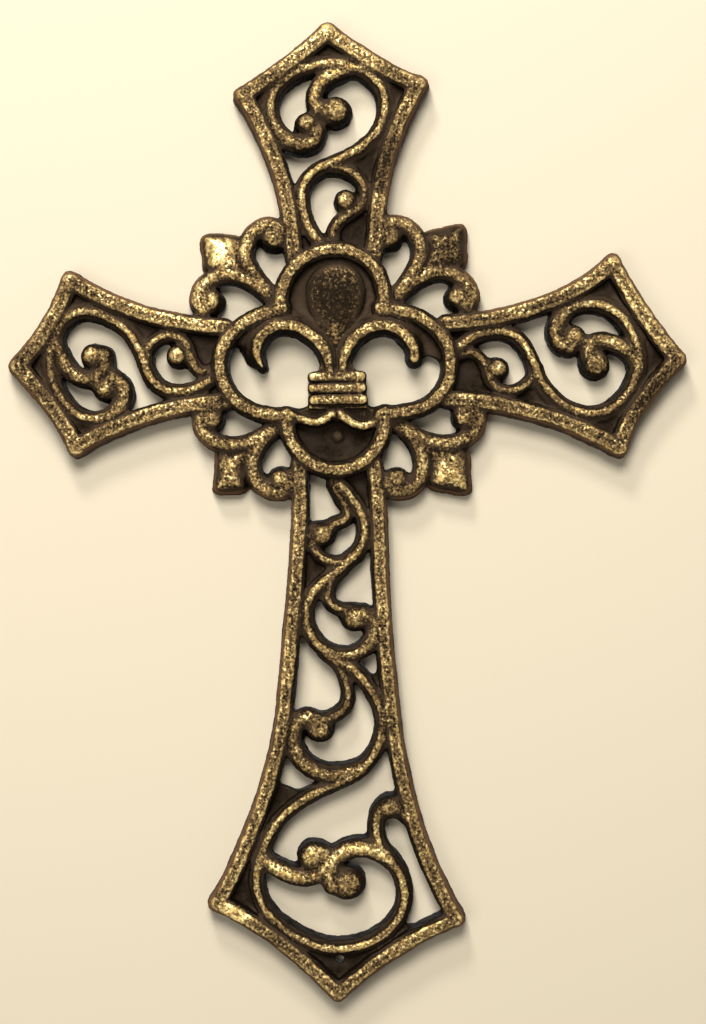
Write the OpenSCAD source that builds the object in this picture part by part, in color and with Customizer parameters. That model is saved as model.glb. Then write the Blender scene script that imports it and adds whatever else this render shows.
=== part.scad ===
// Cast iron wall cross: an openwork cross with scrolled arms, a four-lobed
// ring round a fleur-de-lis, and curled leaves in the four corners.
// Millimetres, +Z up. The cross stands upright with its flat back on the
// plane Y = 0 and its raised face towards -Y; the origin is the middle of
// the crossing, on the back plane.

/* [Casting] */

// Height of the rails that frame the four arms
rail_height = 8.5; // [6:0.1:12]
// Half the width of a rail at the back
rail_foot = 2.7; // [1.8:0.1:4]
// Half the width of a rail at its rounded top
rail_top = 1.15; // [0.6:0.05:2]
// Height of the scroll work inside the arms
scroll_height = 7.4; // [5:0.1:11]
// Half the width of a scroll at the back
scroll_foot = 2.2; // [1.4:0.1:3.5]
// Half the width of a scroll at its rounded top
scroll_top = 0.9; // [0.5:0.05:1.8]
// How far a rounded top rises above its shoulders
crown = 0.75; // [0.3:0.05:1.5]
// Thickness of the sunk web between rails and scrolls
web_thickness = 3.2; // [2:0.1:5]

/* [Centre] */

// Height of the four-lobed ring
ring_height = 10; // [7:0.1:13]
// Height of the two curled side petals
petal_height = 11; // [8:0.1:14]
// Height of the domed middle petal
shield_height = 9.6; // [6:0.1:13]
// Height of the three bands that tie the petals
band_height = 10.4; // [7:0.1:13]
// Height of the four corner leaves
leaf_height = 7.2; // [5:0.1:10]

/* [Arms] */

// How much a ball at the end of a scroll stands above the scroll
ball_rise = 1.2; // [0:0.1:3]
// How much a ball widens towards the back
ball_draft = 0.5; // [0:0.1:1.5]
// Radius of the small round hole above the bottom tip
tip_hole_radius = 1.1; // [0.6:0.1:2]

/* [Hidden] */

// Name of the solid to draw, or all of them

// Turns of the left and right arms, which are drawn upright like the top arm
LEFT = 90;
RIGHT = -90;

// How far the relief is drawn past the back plane before it is trimmed flat
UNDER = 0.6;
// Width of the trimming slab, wider than the cross
SLAB = 400;

// A span that turns more than this many degrees is drawn in two steps
TIGHT_TURN = 66;
// Longest mitre at a corner, against the width of the rail
MITRE_LIMIT = 1.3;
// Heights round a ball's top at which its outline is drawn, in degrees
BALL_RISES = [0, 35, 65, 90];
// A dome's steps: [share of its outline, share of its height]
DOME_STEPS = [[1.06, -0.05], [1.06, 0], [1, 0.5], [0.78, 0.84], [0.45, 0.97]];
// Sides of a ball at the end of a scroll
BALL_SIDES = 10;

// Sections: [half-width at the back, half-width at the top, height]
RAIL = [rail_foot, rail_top, rail_height];
SLIM_RAIL = [rail_foot - 0.2, rail_top - 0.1, rail_height];
SCROLL = [scroll_foot, scroll_top, scroll_height];
BROAD = [scroll_foot + 0.4, scroll_top + 0.4, scroll_height + 0.4];
FINE = [scroll_foot - 0.5, scroll_top - 0.2, scroll_height - 0.8];
RING = [scroll_foot + 0.1, scroll_top + 0.05, ring_height];
PETAL = [rail_foot + 0.7, rail_top + 0.5, petal_height];
BAND = [1.45, 0.75, 2.6];
RIM = [1.3, 0.6, ring_height - 1];

// An arm is [left rail, left tip rail, right tip rail, right rail, stem that
// ends in the left curl, hook that ends in the right ball, waist scroll,
// balls as [centre, radius]]. Points are [across, along] from the origin.
TOP_ARM = [
    [[-10.4, 25], [-11.2, 32], [-11.6, 38], [-12.4, 44], [-13.9, 50],
     [-16, 56], [-18.6, 62], [-21.1, 67.3], [-23.7, 71.6]],
    [[-23.7, 71.6], [-17.6, 75.6], [-12, 79.4], [-6.5, 83.5], [-1, 88.2]],
    [[-1, 88.2], [4.5, 84.1], [10, 80.5], [15.6, 77.0], [22.9, 73.8]],
    [[22.9, 73.8], [20.4, 69.2], [17.6, 63.4], [15.3, 57.5], [13.3, 51],
     [12.2, 45], [11.5, 39], [11, 33], [10.3, 25.2]],
    [[-3, 31.2], [-6, 34.8], [-8, 39.3], [-8.7, 44], [-7.9, 48],
     [-5, 51.3], [0, 53.6], [5, 55.8], [9, 58.5], [12, 61.5],
     [13.8, 65.5], [14.2, 70], [12.8, 74], [9.5, 77.3], [5, 79.3],
     [0, 80], [-6, 79.2], [-11, 77], [-14.5, 74.3], [-16.3, 70.5],
     [-16.5, 66.5], [-15, 62.5], [-12, 59.6], [-8.5, 58.3],
     [-5.3, 59.3], [-4.2, 62]],
    [[6, 78.7], [2, 77.6], [-1.6, 76], [-4.2, 73], [-4.7, 70],
     [-2.8, 67.6], [0.8, 67.5]],
    [[0, 52.5], [3, 51.8], [5.8, 50.3], [7.9, 47.5], [8.4, 44.5],
     [7.5, 42], [5.5, 40.4], [3, 38.9], [1, 37.2], [-0.3, 34.8],
     [0.3, 31.5]],
    [[[-6.9, 64], 2.9], [[0.8, 67.3], 4], [[3.3, 43.2], 2.8]]
];
LEFT_ARM = [
    [[-9.9, 26.3], [-10.4, 33], [-10.9, 39], [-12, 45], [-13.5, 50.5],
     [-15.4, 56], [-17.3, 60.9], [-19.4, 65.6], [-21.8, 69.6]],
    [[-21.8, 69.6], [-17.3, 71.8], [-12, 75.2], [-6, 79.8], [0, 85]],
    [[0, 85], [5, 80.4], [10, 76.9], [15.9, 73.5], [22.5, 70.7]],
    [[22.5, 70.7], [19.5, 65.3], [16.7, 60], [14.7, 55], [12.9, 50],
     [11.9, 45], [10.8, 40], [9.9, 35], [9.5, 26.3]],
    [[-3, 32.3], [-5.5, 35], [-7, 39], [-7.4, 43.2], [-6.5, 46.6],
     [-4, 49.5], [0, 51], [5, 53], [9.4, 56], [12.3, 60],
     [14.2, 64.5], [14.2, 69], [12, 72.6], [8, 75], [4, 76.1],
     [0, 76.4], [-4.5, 75.6], [-8.5, 73.8], [-11.7, 71.2], [-13.9, 67.8],
     [-14.5, 64.3], [-13.6, 60.8], [-11.5, 58.2], [-8.7, 56.9],
     [-5.6, 57.4], [-3.5, 59.8]],
    [[7, 75], [3, 73.6], [-0.3, 72], [-2.7, 69.5], [-3.6, 66.5],
     [-2.9, 63.6], [-0.3, 61.9], [2.8, 62]],
    [[1, 51], [4.5, 50.2], [6.9, 47.7], [7.8, 44.6], [7.2, 41.8],
     [5.3, 40], [2.8, 39], [0.4, 38.3], [-1.7, 36.7], [-2.2, 34.5],
     [-1.3, 31.8]],
    [[[-6.3, 61.9], 3], [[2.5, 65], 3.1], [[2.2, 42.4], 2.7]]
];
RIGHT_ARM = [
    [[-9.8, 26.4], [-10.2, 34], [-10.7, 40], [-11.7, 45.5], [-13.1, 51],
     [-14.8, 56.5], [-17, 62], [-20, 67.7], [-25.2, 74.4]],
    [[-25.2, 74.4], [-20, 77.3], [-14, 80.6], [-7.5, 84.9], [0.5, 91.3]],
    [[0.5, 91.3], [5, 87], [10, 82.9], [15, 78.9], [19.5, 76.9], [23.7, 75.4]],
    [[23.7, 75.4], [20.4, 69.2], [17.9, 63.7], [15.9, 58.7], [14.3, 53.5],
     [12.8, 48], [11.7, 43], [10.9, 38], [10.6, 33], [10, 26.6]],
    [[-3, 32.5], [-5.7, 35.7], [-7.4, 40], [-7.7, 44], [-6.8, 47.7],
     [-4.3, 50.4], [0, 52.6], [5, 54.5], [9, 57.3], [12.2, 60.7],
     [14.1, 65], [14.7, 69], [13.7, 73], [11, 76.7], [7, 79.5],
     [2, 81], [-3, 80.6], [-8, 78.8], [-12, 75.5], [-14.3, 71.5],
     [-14.8, 67], [-13.7, 63], [-11, 60.3], [-7.5, 59], [-4.3, 60.1],
     [-3.2, 62.6]],
    [[3, 81], [0, 79.7], [-2.5, 77.5], [-4.1, 74.5], [-4.8, 71.5],
     [-4, 68.7], [-1.2, 67.7], [1.5, 69.5]],
    [[2.5, 53.8], [5.5, 52.2], [7.5, 49.6], [8.3, 46.5], [7.7, 43.5],
     [5.6, 41.5], [2.6, 40.5], [0, 39.2], [-1.9, 37], [-2, 34.5],
     [-1, 32]],
    [[[-5.9, 63.8], 3.1], [[1.5, 69.7], 3.6], [[2.3, 43.4], 2.7]]
];

// Points of an arm's stem where the web beside it starts and ends
STEM_WEB = [7, 22];
STEM_FOOT = 3;
RAIL_WEB = 5;

// Where an arm's webs run in under the ring, right and left of the stem
WAIST_RIGHT = [[9, 28.6], [1, 29.2]];
WAIST_LEFT = [[-3, 29.2], [-9.4, 28.6]];

// The long lower arm: its rails and its chain of scrolls
LOW_LEFT = [
    [-10.2, -23.4], [-9.9, -34], [-9.9, -41], [-10.6, -49], [-11.2, -57],
    [-12, -65], [-12.9, -73], [-13.6, -81], [-14.6, -89], [-15.3, -96.5],
    [-16.9, -104], [-19.2, -112], [-22, -120], [-25.1, -127.5],
    [-28.7, -136], [-33.4, -144.3]];
LOW_TIP_LEFT = [
    [-33.4, -144.3], [-28, -147.2], [-22, -150.9], [-16, -155.4],
    [-10.5, -160.2], [-6, -164.3], [-1.5, -168.7]];
LOW_TIP_RIGHT = [
    [-1.5, -168.7], [3, -165], [8, -161.2], [14, -157.2], [20, -153.8],
    [25.5, -151.3], [30.1, -149.2]];
LOW_RIGHT = [
    [9.6, -23.4], [10.6, -34], [10.9, -42], [11, -50], [11.3, -58],
    [11.6, -66], [12, -74], [12.6, -82], [13.4, -90], [14, -98],
    [15.2, -106], [17, -114.5], [19, -122.5], [21.5, -130.5],
    [25.0, -139], [30.1, -149.2]];
LOW_UPPER_S = [
    [0.8, -33], [3.8, -36.4], [6, -39.7], [7.3, -44], [6.7, -48.3],
    [4.6, -51.6], [1.2, -54.6], [-2.2, -57.2], [-5.5, -60.1],
    [-8, -63.3], [-9, -67], [-8.4, -71], [-6.5, -74.6], [-3.5, -77.3],
    [0.3, -78.5], [4.2, -78.2], [7.4, -76.3], [9.3, -73.2],
    [9.2, -69.8], [6.5, -67.6]];
LOW_LOWER_S = [
    [-3, -78.2], [0.5, -80.3], [4, -82.5], [6.8, -85.8], [9.4, -89.7],
    [11.1, -93.8], [11.4, -98], [10.5, -102.2], [8.3, -106],
    [4.9, -109.6], [0.8, -111.9], [-4, -114], [-8.7, -116.2],
    [-13, -119], [-16.7, -122.3], [-19.6, -126.5], [-21.6, -131.5],
    [-23, -137], [-22.7, -142], [-20.6, -146.7], [-17, -150.5],
    [-12, -153.9], [-6, -156.4], [0, -157], [6, -155.9], [11, -153.2],
    [14.7, -149.4], [16.6, -145], [16.5, -140.5], [14.8, -136],
    [11.8, -132.7], [8, -130.6], [4, -130.1], [0.6, -131],
    [-2.2, -133.3], [-3.6, -136.5], [-2.7, -140.2]];
LOW_BRANCHES = [
    [FINE, [[-0.6, -29.5], [-0.8, -33], [0.8, -36.3], [2.7, -39.4],
            [2, -42], [-1, -43.4], [-3.6, -45.2]]],
    [FINE, [[4.6, -51.8], [2, -53.2], [-1, -53.6], [-4, -52.6],
            [-6.3, -50.3], [-7.5, -47.4], [-6.5, -44.8]]],
    [FINE, [[1, -55.2], [-1.4, -57.9], [-2.8, -61], [-2.6, -64],
            [-0.3, -66], [3, -66.8]]],
    [FINE, [[-3.6, -78.2], [-0.6, -81], [1.1, -84.3], [2.1, -88],
            [1.8, -91.6], [-0.6, -94.2], [-4.4, -96]]],
    [BROAD, [[5.5, -108.6], [1.5, -110], [-2.5, -110.4], [-6.2, -109.6],
             [-9.7, -107.4], [-12.1, -104], [-12.9, -100.3],
             [-11.9, -97], [-9.2, -95.2], [-6.2, -96.4]]],
    [BROAD, [[-21.5, -132.5], [-18, -135], [-14, -137.1],
             [-10, -137.9], [-6.2, -136.8], [-4.4, -134],
             [-5.2, -131.4], [-7.4, -131]]],
    [SCROLL, [[17.5, -122.2], [15.5, -119.8], [12.7, -118.9],
              [10.3, -120.2], [9.3, -123.2], [9.3, -126.8],
              [10.6, -130.4], [12.8, -133.6]]]
];
LOW_BALLS = [
    [[-4.2, -46.2], 3], [[4.2, -68.6], 3.3], [[-5.6, -98.2], 3.4],
    [[-8.2, -132.2], 3.5], [[1.5, -139.6], 4.5], [[13, -119.4], 2.9]];
TIP_HOLE = [-1, -160.3];

// The four-lobed ring, lobe by lobe
RING_TOP = [
    [-14.8, 14.5], [-13.9, 20], [-11.9, 24], [-8.8, 27.2], [-4.8, 29.3],
    [0, 30], [4.8, 29.3], [8.9, 27], [11.8, 23.2], [13, 19],
    [13.4, 13.7]];
RING_RIGHT = [
    [11.9, 14.2], [17, 13.4], [22, 11.9], [26.5, 8.9], [29.6, 4.7],
    [30.7, 0], [30.1, -5], [27.7, -9.2], [24, -12.1], [18.8, -13.6],
    [11.8, -14.4]];
RING_BOTTOM = [
    [12.9, -13.8], [12.7, -18.5], [11.2, -22.5], [8.4, -25.9],
    [4.5, -28.2], [0, -29], [-4.5, -28.3], [-8.6, -25.8],
    [-11.5, -22.3], [-13, -18.5], [-13.5, -13.9]];
RING_LEFT = [
    [-12.3, -14.5], [-18.5, -13.9], [-23.3, -12.5], [-27.2, -9.7],
    [-29.9, -5.7], [-31, -1.2], [-30.6, 3], [-28.4, 7], [-24.6, 10.4],
    [-19.8, 12.7], [-13.8, 14.2]];

// The fleur-de-lis
PETAL_LEFT = [
    [-1.6, -2.6], [-2.4, 1.2], [-4.2, 4.6], [-6.9, 7.2], [-10.3, 9.1],
    [-14.3, 9.7], [-17.9, 8.4], [-20.3, 5.5], [-20.8, 2], [-19.7, -1]];
PETAL_RIGHT = [
    [1.8, -2.6], [2.4, 1.2], [4.4, 5], [7.4, 7.7], [11.3, 9.2],
    [15.2, 8.8], [18.6, 6.5], [20.8, 3.3], [21, 0.6]];
SHIELD = [
    [0.2, 0.5], [2.6, 5], [5.6, 10], [7.6, 15], [8.2, 19.5],
    [6.6, 24], [3, 26.8], [-1.5, 26.8], [-5.6, 24.3], [-7.7, 20],
    [-7.3, 15], [-5.2, 10], [-2.4, 5]];
BANDS = [[-7.3, 7.9, -4.1], [-7.4, 8, -7.1], [-7.2, 8.2, -10.2]];
STEM = [[-2.6, 1.5], [2.6, 1.5], [5.4, -2.4], [7.8, -3], [8.3, -12.6],
        [-7.5, -12.6], [-7.2, -3], [-4.8, -2.4]];
FOOT_RIMS = [
    [[-12.6, -14.1], [-10, -15], [-6.8, -16], [-3.8, -15.7], [-1, -14]],
    [[1.2, -14], [3.6, -16], [6.7, -17.2], [9.7, -16.4], [12.2, -14.1]]];
FOOT_BUMP = [0.3, -19.8];

// A corner is [curl beside the upright, curl beside the cross arm, balls,
// leaf outline]
CORNERS = [
    [[[14.6, 15.6], [17.6, 19], [20.5, 22.9], [22.6, 27], [22.9, 31.2],
      [20.8, 35], [17.2, 37], [13.6, 36.4], [12.2, 34.2]],
     [[15.6, 16], [19, 19.6], [23, 22.5], [27.4, 23.9], [31.6, 23.2],
      [35, 20.8], [36.5, 17.3], [35.3, 14.6]],
     [[[14.9, 33.2], 3], [[32.8, 17], 3]],
     [[20, 22], [24, 29], [24.8, 34], [29.5, 35.6], [34.6, 36.2],
      [35.1, 31], [34.5, 25.5], [27, 23]]],
    [[[-14.6, 15.6], [-18.4, 19.8], [-21.8, 24], [-23.8, 28.3],
      [-23.3, 32.2], [-21, 35.5], [-17.5, 36.8], [-14.2, 35.6]],
     [[-15.6, 16], [-19, 19.3], [-22.8, 22.2], [-27, 23.7],
      [-31.3, 23.3], [-35, 21], [-36.6, 17.3], [-35.4, 14.4]],
     [[[-16.2, 33.3], 3.2], [[-33, 16.7], 3]],
     [[-20, 22], [-24.6, 28.5], [-25, 33], [-29.5, 34.6], [-35, 34.2],
      [-35.1, 29], [-34, 24.8], [-27, 23]]],
    [[[-14.6, -16], [-18.2, -19], [-21.2, -22.6], [-22.7, -27],
      [-21.7, -31.2], [-18.5, -33.9], [-14.8, -34.3], [-12.9, -32.5]],
     [[-15.6, -16.6], [-19.5, -19.4], [-24, -21.4], [-28.5, -21.9],
      [-32.7, -20.8], [-35.6, -18], [-36.3, -14.6], [-34.5, -12.4]],
     [[[-15.2, -31.2], 3.1], [[-33.3, -14.7], 3]],
     [[-20, -21], [-24.3, -29], [-25, -33.6], [-29, -34.4],
      [-32.8, -33.8], [-32.4, -29], [-31.8, -24], [-27, -22]]],
    [[[14.8, -16], [18.6, -18.6], [21.6, -22.2], [22.9, -26.8],
      [22.1, -31.3], [19.2, -34.2], [15.6, -34.6], [13.4, -32.8]],
     [[16.4, -16.6], [20.7, -19.7], [25, -21.6], [29.6, -22.2],
      [34, -21.2], [37, -18.6], [37.9, -15], [36.2, -12.7]],
     [[[15.9, -31.8], 3.1], [[34.4, -15.1], 3.2]],
     [[20, -21], [24.3, -28], [25, -33.3], [30, -34.7],
      [35.2, -35.2], [35.4, -30], [34.5, -24.3], [27.5, -22.5]]]
];

// ---- curves ----

// A point of the list, or a mirrored one just past either end
function knot(p, i) =
    i < 0 ? 2 * p[0] - p[1]
    : i >= len(p) ? 2 * p[len(p) - 1] - p[len(p) - 2]
    : p[i];

// A smooth curve through four neighbouring points, at t from 0 to 1
function blend(a, b, c, d, t) =
    (2 * b + (c - a) * t + (2 * a - 5 * b + 4 * c - d) * t * t
     + (3 * b - a - 3 * c + d) * t * t * t) / 2;

// How far a curve turns on its way from point i to point i + 1, in degrees
function turning(p, i) =
    let (a = p[i] - knot(p, i - 1), b = knot(p, i + 2) - p[i + 1])
    acos(min(1, max(-1, (a * b) / (norm(a) * norm(b)))));

// The whole curve through a list of points: a tight span is drawn in two
// straight steps, any other in one
function curve(p) = concat(
    [for (i = [0:len(p) - 2])
        let (steps = turning(p, i) > TIGHT_TURN ? 2 : 1)
        for (k = [0:steps - 1])
            blend(knot(p, i - 1), p[i], p[i + 1], knot(p, i + 2), k / steps)],
    [p[len(p) - 1]]);

// Rails joined end to end, each curved, with sharp corners between them
function frame(rails) = concat(
    [rails[0][0]],
    [for (r = rails) let (c = curve(r)) each part(c, 1, len(c) - 1)]);

// Part of a list, from one index to another, either way round
function part(p, from, to) = [for (i = [from:(to < from ? -1 : 1):to]) p[i]];

// ---- raised lines ----

// Unit normal of the straight step from point i to point i + 1
function step_normal(p, i) =
    let (d = knot(p, i + 1) - knot(p, i))
    [-d[1], d[0]] / norm(d);

// Normal of a curve at one of its points, lengthened to mitre a corner
function normal(p, i) =
    let (n = step_normal(p, i - 1) + step_normal(p, i), size = norm(n))
    n / size * min(MITRE_LIMIT, 2 / size);

// The corners of a raised line's section at one point, with its foot
// carried on past the back plane
function section(p, i, s) =
    let (n = normal(p, i), shoulder = s[2] - crown,
         across = [[-s[0], -UNDER], [-s[0], 0], [-s[1], shoulder], [0, s[2]],
                   [s[1], shoulder], [s[0], 0], [s[0], -UNDER]])
    [for (a = across) [p[i][0] + n[0] * a[0], p[i][1] + n[1] * a[0], a[1]]];

// A drafted, round-topped line that follows a curve
module line(points, s) {
    ridge(curve(points), s);
}

// The same along points that are already a curve
module ridge(p, s) {
    rows = len(p);
    corners = [for (i = [0:rows - 1]) each section(p, i, s)];
    n = len(corners) / rows;
    sides = [for (i = [0:rows - 2], k = [0:n - 1])
        let (a = n * i + k, b = n * i + (k + 1) % n)
        [a, b, b + n, a + n]];
    polyhedron(corners, concat(
        [[for (k = [n - 1:-1:0]) k]], sides,
        [[for (k = [0:n - 1]) n * (rows - 1) + k]]));
}

// A round-topped boss that widens towards the back
module ball(b, height) {
    translate(b[0])
        rotate_extrude($fn = BALL_SIDES)
            polygon(concat([[0, -UNDER], [b[1] + ball_draft, -UNDER],
                            [b[1] + ball_draft, 0]],
                [for (t = BALL_RISES) [b[1] * cos(t),
                                       height - b[1] * (1 - sin(t))]]));
}

// The outline's points in counter-clockwise order
function wound(o) =
    let (last = len(o) - 1,
         area = [for (i = [0:last]) let (q = o[(i + 1) % len(o)])
                     o[i][0] * q[1] - q[0] * o[i][1]] * [for (q = o) 1])
    area > 0 ? o : part(o, last, 0);

// A domed shape: its outline shrinks in steps towards the top
module dome(shape, middle, height) {
    outline = wound(shape);
    n = len(outline);
    rows = len(DOME_STEPS);
    corners = concat(
        [for (s = DOME_STEPS, q = outline)
            concat(middle + (q - middle) * s[0], [s[1] * height])],
        [concat(middle, [height])]);
    sides = [for (i = [0:rows - 2], k = [0:n - 1])
        let (a = n * i + k, b = n * i + (k + 1) % n) [a, a + n, b + n, b]];
    top = [for (k = [0:n - 1])
        [n * (rows - 1) + k, n * rows, n * (rows - 1) + (k + 1) % n]];
    polyhedron(corners, concat([[for (k = [0:n - 1]) k]], sides, top));
}

// A flat web of the given thickness
module web(outline, thickness) {
    translate([0, 0, -UNDER])
        linear_extrude(thickness + UNDER)
            polygon(outline);
}

// ---- sub-parts ----

module arm(a, turn) {
    stem = a[4];
    waist = a[6];
    rotate(turn) {
        ridge(frame([a[0], a[1], a[2], a[3]]), RAIL);
        line(stem, SCROLL);
        line(a[5], SCROLL);
        line(waist, FINE);
        for (b = a[7]) ball(b, scroll_height + ball_rise);
        web(concat(part(a[0], RAIL_WEB, len(a[0]) - 2), a[1],
                   part(a[2], 1, len(a[2]) - 1), part(a[3], 1, len(a[3]) - 2),
                   WAIST_RIGHT, part(waist, len(waist) - 2, 1),
                   part(stem, STEM_WEB[0], STEM_WEB[1])), web_thickness);
        web(concat(part(a[0], 1, STEM_FOOT), part(stem, STEM_FOOT, 1),
                   WAIST_LEFT), web_thickness);
    }
}

module lower_arm() {
    ridge(frame([LOW_LEFT, LOW_TIP_LEFT, LOW_TIP_RIGHT,
                 part(LOW_RIGHT, len(LOW_RIGHT) - 1, 0)]), SLIM_RAIL);
    line(LOW_UPPER_S, SCROLL);
    line(LOW_LOWER_S, SCROLL);
    for (b = LOW_BRANCHES) line(b[1], b[0]);
    for (b = LOW_BALLS) ball(b, scroll_height + ball_rise);
    web(concat(part(LOW_LEFT, 11, 14), LOW_TIP_LEFT, part(LOW_TIP_RIGHT, 1, 4),
               part(LOW_LOWER_S, 26, 12)), web_thickness);
    web(concat(part(LOW_LEFT, 2, 5), part(LOW_UPPER_S, 10, 6),
               part(LOW_BRANCHES[1][1], 1, 5)), web_thickness);
    web(concat(part(LOW_RIGHT, 1, 3), part(LOW_UPPER_S, 4, 1),
               [[0, -33], [0, -29.8], [9.5, -28.8]]), web_thickness);
    web(concat(part(LOW_RIGHT, 7, 9), part(LOW_LOWER_S, 5, 3)), web_thickness);
}

module ring() {
    for (r = [RING_TOP, RING_RIGHT, RING_BOTTOM, RING_LEFT])
        line(r, RING);
}

module fleur() {
    line(PETAL_LEFT, PETAL);
    line(PETAL_RIGHT, PETAL);
    dome(SHIELD, [0, 17], shield_height);
    web(STEM, band_height - BAND[2]);
    for (r = FOOT_RIMS) line(r, RIM);
    ball([FOOT_BUMP, 1.8], web_thickness + 1.4);
    // webs behind the petals, in the top and bottom lobes and over the foot
    web(concat([[0, -2]], part(PETAL_LEFT, 2, 7), [[-25.5, 5.2]],
               part(RING_LEFT, 7, 9), part(RING_TOP, 1, 9),
               part(RING_RIGHT, 1, 5), [[26, 1.2]], part(PETAL_RIGHT, 7, 2)),
        web_thickness);
    web(concat(part(RING_BOTTOM, 1, 9), [[-12.2, -13], [-7, -11.4],
               [8, -11.4], [11.6, -13]]), web_thickness);
    web(concat(part(FOOT_RIMS[0], 1, 3), part(FOOT_RIMS[1], 1, 3),
               [[10.6, -13.2], [7.5, -11.8], [-6.5, -11.8], [-11, -13.2]]),
        ring_height - 3);
}

// The bands stand on the stem of the fleur-de-lis
module bands() {
    translate([0, 0, band_height - BAND[2]])
        for (b = BANDS) line([[b[0], b[2]], [b[1], b[2]]], BAND);
}

module corner(c) {
    line(c[0], SCROLL);
    line(c[1], SCROLL);
    for (b = c[2]) ball(b, scroll_height + ball_rise);
    dome(c[3], (c[3][1] + c[3][6]) / 2, leaf_height);
}

module relief() {
    arm(TOP_ARM, 0);
    arm(LEFT_ARM, LEFT);
    arm(RIGHT_ARM, RIGHT);
    lower_arm();
    ring();
    fleur();
    for (c = CORNERS) corner(c);
}

// The relief with everything past the back plane cut away
module trimmed() {
    intersection() {
        relief();
        translate([-SLAB / 2, -SLAB / 2, 0])
            cube([SLAB, SLAB, 2 * petal_height]);
    }
}

// The one casting, stood upright with its back on the plane Y = 0
module cross() {
    color([0.2, 0.17, 0.12])
        rotate([90, 0, 0])
            difference() {
                resize([0, 0, petal_height]) {
                    trimmed();
                    bands();
                }
                translate([TIP_HOLE[0], TIP_HOLE[1], -1])
                    cylinder(h = web_thickness + 2, r = tip_hole_radius, $fn = 48);
            }
}

cross();
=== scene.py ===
"""The looks of the cast iron wall cross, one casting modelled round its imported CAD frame.

The tables hold millimetres as the cross is seen from the front: [across, up], from the
middle of the crossing. Heights are above the flat back. The row frame has across on +X,
up on +Z and height on -Y.
"""

import math

import bpy
import numpy as np
import openvdb
from mathutils import Matrix, Vector


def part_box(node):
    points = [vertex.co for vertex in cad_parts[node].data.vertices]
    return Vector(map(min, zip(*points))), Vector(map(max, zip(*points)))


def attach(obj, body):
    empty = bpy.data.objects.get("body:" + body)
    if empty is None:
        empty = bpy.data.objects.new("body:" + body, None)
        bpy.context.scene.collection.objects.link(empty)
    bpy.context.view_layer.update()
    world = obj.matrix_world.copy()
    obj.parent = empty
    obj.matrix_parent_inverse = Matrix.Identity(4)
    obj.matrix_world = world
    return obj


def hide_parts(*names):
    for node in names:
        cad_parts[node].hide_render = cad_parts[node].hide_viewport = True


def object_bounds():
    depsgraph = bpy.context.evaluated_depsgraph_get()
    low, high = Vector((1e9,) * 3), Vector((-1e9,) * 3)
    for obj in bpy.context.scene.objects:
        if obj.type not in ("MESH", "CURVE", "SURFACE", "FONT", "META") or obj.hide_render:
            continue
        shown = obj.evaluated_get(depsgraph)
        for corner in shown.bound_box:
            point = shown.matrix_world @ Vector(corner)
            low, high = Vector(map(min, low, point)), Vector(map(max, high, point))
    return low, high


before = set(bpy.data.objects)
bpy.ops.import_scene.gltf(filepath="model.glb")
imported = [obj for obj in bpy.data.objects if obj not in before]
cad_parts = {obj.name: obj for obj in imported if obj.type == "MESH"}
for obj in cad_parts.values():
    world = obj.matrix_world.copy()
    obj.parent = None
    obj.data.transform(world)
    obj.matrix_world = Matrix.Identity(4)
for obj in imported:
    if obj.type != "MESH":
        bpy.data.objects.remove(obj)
cad_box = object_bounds()

MM = 0.001
CELL = 0.34      # side of a cell of the sculpting grid
REACH = 6.0                             # how far from a shape its field is worked out
MARGIN = 4.0                            # empty border of the grid
DEPTH_MARGIN = 2.0                      # the same behind the back and before the face
MOST_TRIANGLES = 190000

# ---- sections ----

# A raised line's section: half width at the foot on its left and right side,
# half width at the top, height, rounding of the top edges
RAIL = (2.75, 2.75, 1.5, 8.5, 0.5)
SLIM = (2.6, 2.6, 1.35, 8.3, 0.45)
SCROLL = (2.45, 2.45, 0.7, 7.7, 0.6)
BROAD = (2.9, 2.9, 1.2, 8.1, 1.2)
FINE = (2.15, 2.15, 0.6, 7.0, 0.5)
CURL = (2.7, 2.7, 1.1, 8.1, 1.0)
RING = (2.5, 2.5, 1.1, 9.8, 0.6)
PETAL_L = (2.5, 6.8, 1.3, 10.8, 1.0)
PETAL_R = (6.8, 2.5, 1.3, 10.8, 1.0)
BAND = (1.45, 1.45, 1.0, 10.6, 0.9)
RIM = (1.5, 1.5, 0.7, 9.2, 0.6)
BEVEL = 0.75                # share of a flank's run that is in the bevel at its top
STEEP = 1.6                 # fall of the bevel for each mm across
FILLET = 1.1                # fillet at the foot of a raised line
RAIL_FILLET = 0.5
RAIL_THIN, RAIL_RUN = 2, 3.0    # how much and over what run a rail slims at the crossing
CORNER_ROUND = 1.7          # rounding of the pointed corner where two rails meet
BALL_TOP = 8.9
BALL_DRAFT = 0.12
WEB = 3.2                   # height of a sunk web
RING_WEB, RING_WEB_FILLET = 4.4, 2.4

# ---- the drawing ----

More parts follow.
